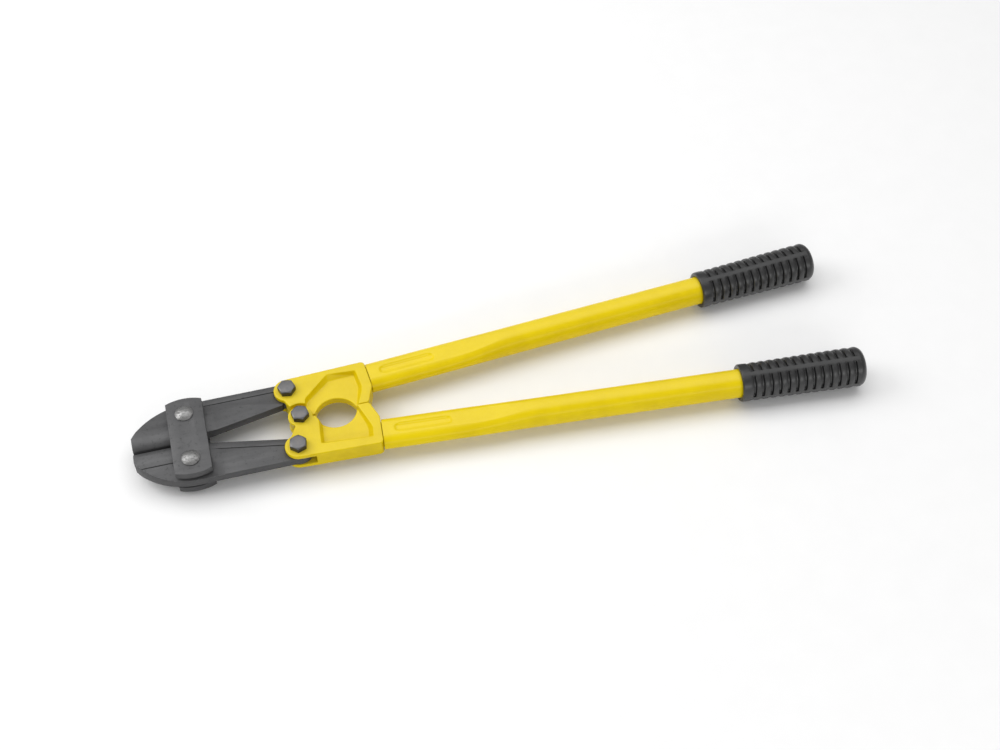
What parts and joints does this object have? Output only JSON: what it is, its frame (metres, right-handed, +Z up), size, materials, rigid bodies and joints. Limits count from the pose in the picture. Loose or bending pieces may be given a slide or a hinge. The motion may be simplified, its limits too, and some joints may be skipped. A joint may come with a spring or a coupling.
{
  "type": "bolt cutters",
  "caption": "Two-handed bolt cutters: forged jaws pivot on link plates and toggle closed by yellow tube handles with ribbed black grips.",
  "frame": {"origin": "middle of the footprint, on the surface that the closed tool lies on", "axes": "+X from the jaws to the handles, +Z up, across the linkage's plane, +Y to the upper blade's side"},
  "size_m": [0.6, 0.1534, 0.034],
  "materials": {
    "blade_steel": "satin dark phosphate over a forged surface, with ground bevels and worn edges",
    "plate_steel": "satin dark phosphate, bright where the edges are worn",
    "rivet_steel": "bare steel, pitted and polished on the dome",
    "yellow_casting": "gloss yellow paint over a casting",
    "yellow_tube": "gloss yellow paint over drawn tube",
    "grip_rubber": "matt black moulded rubber with a soft sheen",
    "fastener_steel": "dark zinc, slightly blue"
  },
  "bodies": {
    "link_plates": {"front_link_plate": "plate_steel", "back_link_plate": "plate_steel", "upper_link_rivet": "rivet_steel", "lower_link_rivet": "rivet_steel"},
    "upper_blade": {"upper_blade": "blade_steel"},
    "lower_blade": {"lower_blade": "blade_steel"},
    "upper_handle": {"upper_handle_head": "yellow_casting", "upper_handle_tube": "yellow_tube", "upper_grip": "grip_rubber", "upper_blade_bolt": "fastener_steel", "upper_blade_nut": "fastener_steel", "upper_spring_washer": "fastener_steel"},
    "lower_handle": {"lower_handle_head": "yellow_casting", "lower_handle_tube": "yellow_tube", "lower_grip": "grip_rubber", "lower_blade_bolt": "fastener_steel", "lower_blade_nut": "fastener_steel", "lower_spring_washer": "fastener_steel", "centre_pivot_bolt": "fastener_steel", "centre_pivot_nut": "fastener_steel", "centre_spring_washer": "fastener_steel"}
  },
  "joints": [
    {"name": "upper_blade_swing", "type": "hinge", "parent": "link_plates", "child": "upper_blade", "pos_m": [-0.25532, 0.0221, 0.017], "axis": [0, 0, -1], "range_deg": [0, 7.06]},
    {"name": "upper_handle_swing", "type": "hinge", "parent": "upper_blade", "child": "upper_handle", "pos_m": [-0.17111, 0.0284, 0.017], "axis": [0, 0, 1], "range_deg": [0, 49.01]},
    {"name": "lower_blade_swing", "type": "hinge", "parent": "link_plates", "child": "lower_blade", "pos_m": [-0.25532, -0.0221, 0.017], "axis": [0, 0, 1], "range_deg": [0, 7.06]},
    {"name": "lower_handle_swing", "type": "hinge", "parent": "lower_blade", "child": "lower_handle", "pos_m": [-0.17111, -0.0284, 0.017], "axis": [0, 0, -1], "range_deg": [0, 49.06]}
  ],
  "couplings": [
    {"joint": "upper_blade_swing", "follows": "upper_handle_swing", "ratio": 0.1431},
    {"joint": "lower_blade_swing", "follows": "upper_handle_swing", "ratio": 0.1431},
    {"joint": "lower_handle_swing", "follows": "upper_handle_swing", "ratio": 1}
  ]
}
